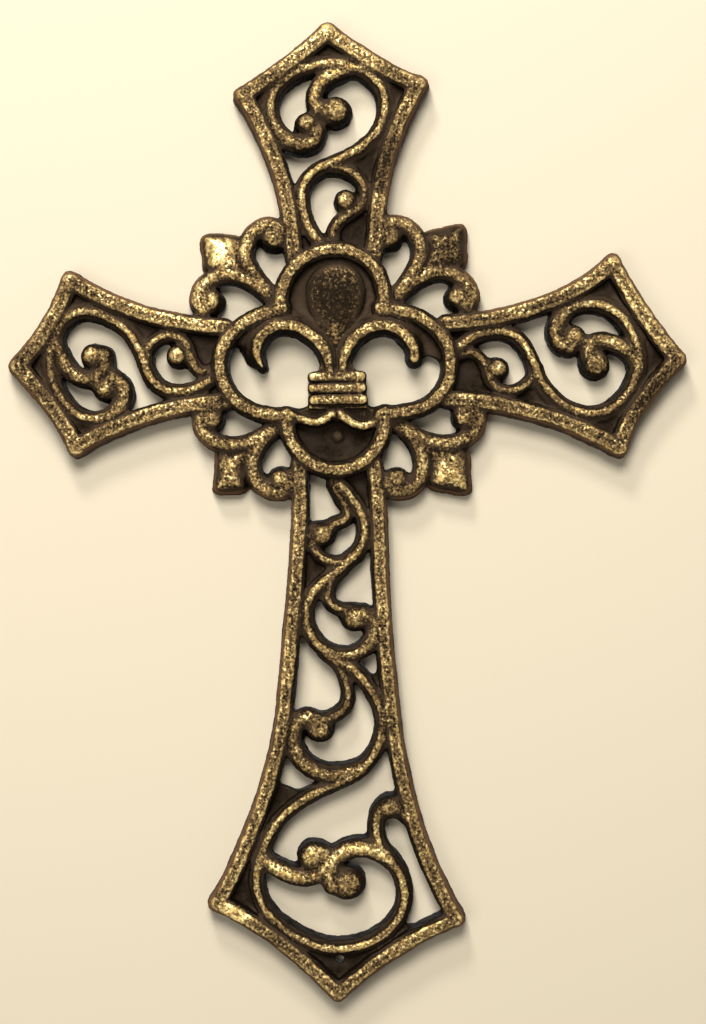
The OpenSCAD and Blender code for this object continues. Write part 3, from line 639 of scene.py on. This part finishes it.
# Where the gold brush went over the casting heavily or lightly, with painted light mixed in:
# the leaf at [-30, 31] is brighter partly as a painted highlight, the spots at [-29, -145.5],
# [-4, -131], [8, -131] and [-15, -136] are painted highlights, and [0, 84] lightens the top
# arm's tip partly as painted light from above. [middle, reach, amount]
BRUSH_AND_HIGHLIGHT_SPOTS = [
    [[0, 17], 8, -0.27], [[-30, 31], 6, 0.5], [[31, 31], 6, -0.1], [[30, -31], 6, 0.22],
    [[-29, -30], 6, 0.12], [[0, -19], 9, 0.02], [[16, 52], 8, -0.22], [[0, 84], 14, 0.12],
    [[-40, 14], 16, 0.1], [[-80, -2], 9, -0.06], [[88, -12], 10, -0.26], [[80, 14], 12, 0.1],
    # These four spots round the foot are painted highlights, not brush work.
    [[-29, -145.5], 4, 0.35], [[-4, -131], 6, 0.2], [[8, -131], 5, 0.2], [[-15, -136], 5, 0.2],
    [[0, -152], 12, 0.05], [[-14, 40], 8, 0.05], [[-22, 0], 9, -0.04]]
EDGE_BLUR, OPEN_BLUR, RIM_BLUR = 1.0, 3.4, 2.6      # how far round a point each looks


# ---- from field to mesh ----

def blurred(a, size):
    """A field averaged over about the given size in mm."""
    half = max(1, int(size / CELL / 2 + 0.5))
    n = 2 * half + 1
    for axis in range(3):
        pad = [(half + 1, half) if k == axis else (0, 0) for k in range(3)]
        total = np.cumsum(np.pad(a, pad, mode="edge"), axis, dtype=np.float64)
        m = total.shape[axis]
        a = ((np.take(total, range(n, m), axis) - np.take(total, range(0, m - n), axis))
             / n).astype(np.float32)
    return a


def sampled(a, p):
    """Values of a grid at points given in cells."""
    p = np.clip(p, 0, np.array(a.shape) - 1.001)
    i = p.astype(int)
    f = p - i
    out = 0
    for k in range(8):
        s = [(k >> axis) & 1 for axis in range(3)]
        share = np.prod([f[:, x] if s[x] else 1 - f[:, x] for x in range(3)], axis=0)
        out = out + share * a[i[:, 0] + s[0], i[:, 1] + s[1], i[:, 2] + s[2]]
    return out


def outside(solid):
    """Which cells of a flat map are joined to its border through empty ones."""
    found = np.zeros_like(solid)
    found[[0, -1]] = found[:, [0, -1]] = True
    places = [np.arange(n) for n in solid.shape]
    while True:
        before = found.sum()
        for axis in (0, 1):
            order = places[axis].reshape((-1, 1) if axis == 0 else (1, -1))
            for _ in range(2):      # one way, then the other
                last = np.maximum.accumulate(np.where(found, order, -1), axis)
                block = np.maximum.accumulate(np.where(solid, order, -1), axis)
                found = np.flip(found | (last > block), axis)
                solid = np.flip(solid, axis)
        if found.sum() == before:
            return found


def skin(clay):
    """The casting's surface as a mesh object in the row frame, thinned to a fair size."""
    field = (clay.field / CELL).reshape(clay.size)
    grid = openvdb.FloatGrid(3.0)
    grid.copyFromArray(np.clip(field, -3, 3).astype(np.float32))
    points, _, quads = grid.convertToPolygons(0.0, 0.0)
    p = points.astype(float) * CELL + clay.lo
    quads = quads.astype(np.int32)
    mesh = bpy.data.meshes.new("cast_cross")
    mesh.from_pydata((np.stack([p[:, 0], -p[:, 2], p[:, 1]], 1) * MM).tolist(), [],
                     quads.tolist())
    cross = bpy.data.objects.new("cast_cross", mesh)
    bpy.context.collection.objects.link(cross)
    if len(quads) * 2 > MOST_TRIANGLES:
        lean = cross.modifiers.new("lean", "DECIMATE")
        lean.ratio = MOST_TRIANGLES / (len(quads) * 2)
        view = cross.evaluated_get(bpy.context.evaluated_depsgraph_get())
        thin = bpy.data.meshes.new_from_object(view)
        cross.modifiers.clear()
        cross.data = thin
        bpy.data.meshes.remove(mesh)
        thin.name = "cast_cross"
    return cross


def outward(mesh):
    """Turns the faces so that they look out of the casting."""
    n, v = len(mesh.polygons), np.empty(len(mesh.vertices) * 3)
    mesh.vertices.foreach_get("co", v)
    normals, centres, areas = np.empty(n * 3), np.empty(n * 3), np.empty(n)
    mesh.polygons.foreach_get("normal", normals)
    mesh.polygons.foreach_get("center", centres)
    mesh.polygons.foreach_get("area", areas)
    flux = ((normals * centres).reshape(-1, 3).sum(1) * areas).sum()
    if flux < 0:
        mesh.flip_normals()


def store(mesh, name, values):
    """Keeps one number a vertex for the material to read."""
    layer = mesh.attributes.new(name, "FLOAT", "POINT")
    layer.data.foreach_set("value", np.asarray(values, np.float32))


def wear(clay, cross):
    """Stores how raised, how exposed and how high (in cm) each point of the surface is,
    how near the outline, and how heavily the gold brush went over it, painted highlights added."""
    mesh = cross.data
    v = np.empty(len(mesh.vertices) * 3)
    mesh.vertices.foreach_get("co", v)
    v = v.reshape(-1, 3) / MM
    cells = (np.stack([v[:, 0], v[:, 2], -v[:, 1]], 1) - clay.lo) / CELL
    solid = np.clip(0.5 - clay.field / CELL, 0, 1).reshape(clay.size)
    solid[:, :, clay.rise < 0] = 1.0    # the back is no edge
    for name, size in (("edge", EDGE_BLUR), ("open", OPEN_BLUR)):
        store(mesh, name, 0.5 - sampled(blurred(blurred(solid, size), size), cells))
    store(mesh, "high", cells[:, 2] * CELL / 10 + clay.lo[2] / 10)
    around = outside((clay.field.reshape(clay.size)[:, :, clay.rise > 0] < 0).any(2))
    around = np.repeat(around[:, :, None], 2, 2).astype(np.float32)
    store(mesh, "rim", sampled(blurred(blurred(around, RIM_BLUR), RIM_BLUR), cells))
    # The brush amount, with the painted highlights of the table added in.
    brushed = 0
    for (x, y), reach, amount in BRUSH_AND_HIGHLIGHT_SPOTS:
        away = ((v[:, 0] - x) ** 2 + (v[:, 2] - y) ** 2) / reach ** 2
        brushed = brushed + amount * np.exp(-away * away)
    store(mesh, "brushed", brushed)


def finished_casting():
    """The one piece: sculpted, meshed, its wear stored, and shaded smooth."""
    lo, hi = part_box("cross")
    clay = sculpt(Vector(lo), Vector(hi))
    cross = skin(clay)
    outward(cross.data)
    wear(clay, cross)
    cross.data.shade_smooth()
    return cross


# ---- finish ----

class Nodes:
    """Short words for building a node tree."""

    def __init__(self, tree):
        self.tree = tree
        tree.nodes.clear()

    def add(self, kind, inputs=(), **settings):
        """A node with its inputs linked to sockets or set to values."""
        node = self.tree.nodes.new(kind)
        for key, value in settings.items():
            setattr(node, key, value)
        for key, value in dict(inputs).items():
            if isinstance(value, bpy.types.NodeSocket):
                self.tree.links.new(value, node.inputs[key])
            else:
                node.inputs[key].default_value = value
        return node

    def math(self, operation, *values, clamp=False):
        """One math node's result."""
        return self.add("ShaderNodeMath", enumerate(values), operation=operation,
                        use_clamp=clamp).outputs[0]

    def times(self, first, *rest):
        """The product of two or more values."""
        for value in rest:
            first = self.math("MULTIPLY", first, value)
        return first

    def plus(self, first, *rest):
        """The sum of two or more values."""
        for value in rest:
            first = self.math("ADD", first, value)
        return first

    def step(self, value, low, high):
        """0 below low, 1 above high, smooth between."""
        node = self.add("ShaderNodeMapRange", {"Value": value, "From Min": low, "From Max": high},
                        interpolation_type="SMOOTHSTEP")
        return node.outputs["Result"]

    def mix(self, share, a, b):
        """A mix of two colours."""
        node = self.add("ShaderNodeMix", {"Factor": share}, data_type="RGBA")
        for slot, value in ((node.inputs[6], a), (node.inputs[7], b)):
            if isinstance(value, bpy.types.NodeSocket):
                self.tree.links.new(value, slot)
            else:
                slot.default_value = (*value, 1)
        return node.outputs[2]

    def noise(self, place, size, detail=2.0, rough=0.5):
        """Noise whose bumps are about the given size in mm, near 0 to 1."""
        return self.add("ShaderNodeTexNoise", {"Vector": place, "Scale": 1 / (size * MM),
                                               "Detail": detail, "Roughness": rough}).outputs[0]

    def cells(self, place, size):
        """Distance from the middles of scattered cells of about the given size in mm."""
        return self.add("ShaderNodeTexVoronoi",
                        {"Vector": place, "Scale": 1 / (size * MM)}).outputs["Distance"]

    def stored(self, name):
        """A number that wear() stored on the mesh."""
        return self.add("ShaderNodeAttribute", attribute_name=name).outputs["Fac"]


# Linear colours of the finish
COAT = (0.004, 0.003, 0.002), (0.017, 0.011, 0.006)     # black-brown, in pits and on grains
RUBBED = (0.17, 0.112, 0.050)           # where the brush only grazed
FLANK = (0.13, 0.072, 0.038)            # thin brown on the outer sides
WEB_SHEEN = (0.028, 0.020, 0.015)        # painted reflection: lighter patches on the sunk webs
SLOPE_SHEEN = (0.060, 0.042, 0.028)           # painted sheen: brown on the fillets between web and line
FACET_RUB_AND_SHEEN = (0.070, 0.048, 0.032)           # bevels of the raised lines on their inward side: brown rub with painted sheen
OPENING_SHADE = (0.002, 0.0015, 0.001)          # painted shade: near black on the walls down into the openings
BARE = (0.026, 0.021, 0.017), (0.062, 0.043, 0.030)     # the unpainted back
BRASS = (0.36, 0.235, 0.074), (0.80, 0.65, 0.31)
SPECULAR_TINT = (0.75, 0.55, 0.40, 1)


class CastingNodes(Nodes):
    """The casting's node tree with the values that its layers share. front is 1 where the
    surface looks away from the wall, 0 on its sides and -1 on its back."""

    def __init__(self, tree):
        super().__init__(tree)
        self.place = self.add("ShaderNodeTexCoord").outputs["Object"]
        self.edge, self.exposed, self.high, self.brushed, self.rim = (
            self.stored(k) for k in ("edge", "open", "high", "brushed", "rim"))
        faces = self.add("ShaderNodeSeparateXYZ",
                         {0: self.add("ShaderNodeNewGeometry").outputs["Normal"]})
        self.front = self.times(faces.outputs["Y"], -1.0)
        self.grain = self.times(self.plus(self.noise(self.place, 0.7, 2, 0.62), -0.5), 2.0)
        self.drift = self.plus(self.noise(self.place, 5.0, 2), -0.5)
        self.crest = self.step(self.edge, 0.03, 0.10)


def brushing_and_highlights(n):
    """How much of the gold brush each spot met, with the stored painted highlights: ridges first,
    then high ground, speckled by the grain, less so on crests."""
    proud = n.plus(n.times(n.edge, 2.4), n.times(n.exposed, 0.5),
                   n.times(n.step(n.high, 0.50, 0.78), 0.38),
                   n.times(n.step(n.rim, 0.06, 0.32), 0.16),
                   n.times(n.step(n.front, 0.9, 0.45), -0.6),
                   n.brushed, n.times(n.drift, 0.4))
    weight = n.math("MULTIPLY_ADD", n.crest, -0.5, 0.74)
    return n.plus(proud, n.times(n.grain, weight))


def unpitted(n):
    """0 in the dark pits that the brush skipped, which are shallow on crests."""
    rough = n.times(n.grain, 0.3)
    pits = n.plus(n.cells(n.place, 0.75), rough)
    blots = n.plus(n.cells(n.place, 1.6), rough)
    clear = n.times(n.step(pits, 0.18, 0.28), n.step(blots, 0.26, 0.36))
    return n.math("MAXIMUM", clear, n.times(n.crest, 0.95))


def under_coat(n, brushed):
    """The colour below the gold: the coat with its browns and painted sheen, near-black painted
    shade on the walls down into the openings, and a bare back.
    """
    coat = n.mix(n.step(n.grain, -0.4, 0.5), *COAT)
    coat = n.mix(n.times(n.step(brushed, 0.2, 0.65), 0.85), coat, RUBBED)
    flank = n.times(n.step(n.front, 0.92, 0.7), n.step(n.rim, 0.12, 0.3),
                    n.math("MULTIPLY_ADD", n.step(n.front, 0.05, 0.4), 0.6, 0.2))
    coat = n.mix(flank, coat, FLANK)
    # Painted reflection: lighter patches on the sunk webs.
    web_sheen_share = n.times(n.step(n.high, 0.55, 0.4), n.step(n.front, 0.5, 0.9),
                        n.step(n.drift, -0.2, 0.25))
    coat = n.mix(web_sheen_share, coat, WEB_SHEEN)
    # Painted sheen: brown on the fillets between web and line.
    slope = n.times(n.step(n.high, 0.33, 0.42), n.step(n.high, 0.68, 0.55),
                    n.step(n.front, 0.4, 0.8), 0.5)
    coat = n.mix(slope, coat, SLOPE_SHEEN)
    # Brown rub with painted sheen on the raised lines' bevels on their inward side.
    facet_rub_and_sheen = n.times(n.step(n.high, 0.5, 0.62), n.step(n.front, 0.25, 0.45),
                    n.step(n.front, 0.97, 0.8), n.step(n.exposed, 0.14, 0.02), 0.45)
    coat = n.mix(facet_rub_and_sheen, coat, FACET_RUB_AND_SHEEN)
    # Painted shade: the walls down into the openings, away from the outline, made near black.
    opening_shade = n.times(n.step(n.front, 0.5, 0.2), n.step(n.rim, 0.25, 0.1))
    coat = n.mix(opening_shade, coat, OPENING_SHADE)
    blotch = n.math("MULTIPLY_ADD", n.grain, 0.25, n.drift)
    return n.mix(n.step(n.front, -0.3, -0.8), coat, n.mix(n.step(blotch, -0.25, 0.3), *BARE))


def dullness(n, gold):
    """Roughness: the coat is dull, the gold is shinier, and the walls are dullest."""
    dull = n.plus(n.math("MULTIPLY_ADD", n.noise(n.place, 1.1, 2), 0.2, 0.58),
                  n.times(gold, -0.3))
    return n.math("ADD", dull, n.times(n.step(n.front, 0.5, 0.2), 0.4), clamp=True)


def casting_finish():
    """Black-brown coat over sand-cast iron, brassy gold dry-brush work on whatever stands proud,
    with painted shade, sheen and highlights mixed into the colour.
    """
    made = bpy.data.materials.new("casting")
    made.use_nodes = True
    n = CastingNodes(made.node_tree)
    brushed, clear = brushing_and_highlights(n), unpitted(n)
    # Gold cover, which also carries the painted highlights of the table.
    gold = n.math("MULTIPLY", n.step(brushed, 0.5, 0.88), clear, clamp=True)
    brass = n.mix(n.step(n.noise(n.place, 1.2, 2), 0.35, 0.65), *BRASS)
    relief = n.plus(n.times(n.grain, 0.5), n.times(clear, 0.35))
    bump = n.add("ShaderNodeBump", {"Height": relief, "Strength": 0.5, "Distance": 0.0002})
    shader = n.add("ShaderNodeBsdfPrincipled", {
        "Base Color": n.mix(gold, under_coat(n, brushed), brass), "Metallic": n.times(gold, 0.85),
        "Roughness": dullness(n, gold), "Specular IOR Level": 0.2, "IOR": 1.35,
        "Specular Tint": SPECULAR_TINT, "Normal": bump.outputs[0]})
    n.add("ShaderNodeOutputMaterial", {"Surface": shader.outputs[0]})
    return made


# ---- stage ----

WALL_PAINT = (0.57, 0.52, 0.42, 1)
WALL_HALF, WALL_GAP = 1.5, 0.0004       # half the wall's side, its distance behind the cross
SKY, SKY_DIM, SKY_SEEN = (0.88, 0.83, 0.74, 1), 0.2, 0.8    # SKY_SEEN is added where seen
WARM = (1, 0.95, 0.86)
# Each lamp as [name, place, size, watts, colour]
LAMPS = [["key", (-0.06, -0.90, 0.42), 0.36, 11.5, WARM],
         ["top", (-0.16, -0.50, 0.62), 0.16, 4.2, WARM],
         ["fill", (-0.4, -1.0, -0.2), 0.5, 3.0, WARM],
         ["behind", (0.0, 1.0, 0.1), 0.5, 9.0, (1, 1, 1)]]

# The photo's view. The camera stands FAR in front of the crests, where its picture is SEEN
# wide, and SHIFT from the middle of the CAD box in [across, up]
ROLL, CREST, FAR, SEEN = math.radians(0.75), 0.0085, 0.62, 0.27307
SHIFT = [0.00096, -0.00005]
SENSOR = 36


def wall_finish():
    """Plain pale paint, seen from the front only, so that the cross shows from behind too.
    It casts no shadow, so the lamp behind it lights the cross's back."""
    made = bpy.data.materials.new("wall_paint")
    made.use_nodes = True
    n = Nodes(made.node_tree)
    paint = n.add("ShaderNodeBsdfDiffuse", {"Color": WALL_PAINT})
    clear = n.add("ShaderNodeBsdfTransparent")
    behind = n.add("ShaderNodeNewGeometry").outputs["Backfacing"]
    shadow = n.add("ShaderNodeLightPath").outputs["Is Shadow Ray"]
    mixed = n.add("ShaderNodeMixShader", {0: n.math("MAXIMUM", behind, shadow),
                                          1: paint.outputs[0], 2: clear.outputs[0]})
    n.add("ShaderNodeOutputMaterial", {"Surface": mixed.outputs[0]})
    return made


def wall():
    """The wall the cross lies against."""
    mesh = bpy.data.meshes.new("wall")
    y, h = cad_box[1].y + WALL_GAP, WALL_HALF
    mesh.from_pydata([(-h, y, -h), (h, y, -h), (h, y, h), (-h, y, h)], [], [(0, 1, 2, 3)])
    made = bpy.data.objects.new("wall", mesh)
    mesh.materials.append(wall_finish())
    bpy.context.collection.objects.link(made)


def lamp(name, at, size, power, colour):
    """A soft square light aimed at the middle of the cross."""
    data = bpy.data.lights.new(name, "AREA")
    data.size, data.energy, data.color = size, power, colour
    made = bpy.data.objects.new(name, data)
    made.location = at
    aim = (cad_box[0] + cad_box[1]) / 2 - Vector(at)
    made.rotation_euler = aim.to_track_quat("-Z", "Y").to_euler()
    bpy.context.collection.objects.link(made)


def light():
    """A soft key from in front and above, a smaller light high on the left, a weak fill low
    on the left, a lamp for the back, and a pale sky that gloss sees as the camera does."""
    for each in LAMPS:
        lamp(*each)
    world = bpy.data.worlds.new("studio")
    bpy.context.scene.world = world
    world.use_nodes = True
    n = Nodes(world.node_tree)
    ray = n.add("ShaderNodeLightPath").outputs
    seen = n.math("MAXIMUM", ray["Is Camera Ray"], ray["Is Transmission Ray"])
    seen = n.math("MAXIMUM", seen, ray["Is Glossy Ray"])
    strength = n.math("MULTIPLY_ADD", seen, SKY_SEEN, SKY_DIM)
    sky = n.add("ShaderNodeBackground", {"Color": SKY, "Strength": strength})
    n.add("ShaderNodeOutputWorld", {"Surface": sky.outputs[0]})


def camera():
    """The view of the photo: close, from straight in front, with a slight roll."""
    data = bpy.data.cameras.new("camera")
    data.sensor_width, data.clip_start = SENSOR, 0.01
    data.lens = SENSOR * FAR / SEEN
    made = bpy.data.objects.new("camera", data)
    bpy.context.collection.objects.link(made)
    right = Vector((math.cos(ROLL), 0, -math.sin(ROLL)))
    up = Vector((math.sin(ROLL), 0, math.cos(ROLL)))
    back = Vector((0, -1, 0))
    middle = (cad_box[0] + cad_box[1]) / 2
    at = Vector((middle.x + SHIFT[0], -FAR - CREST, middle.z + SHIFT[1]))
    made.matrix_world = Matrix([(*(a[i] for a in (right, up, back)), at[i]) for i in range(3)]
                               + [(0, 0, 0, 1)])
    bpy.context.scene.camera = made
    bpy.context.scene.view_settings.view_transform = "Standard"


cross = finished_casting()
cross.data.materials.clear()
cross.data.materials.append(casting_finish())
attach(cross, "root")
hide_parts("cross")
wall()
light()
camera()
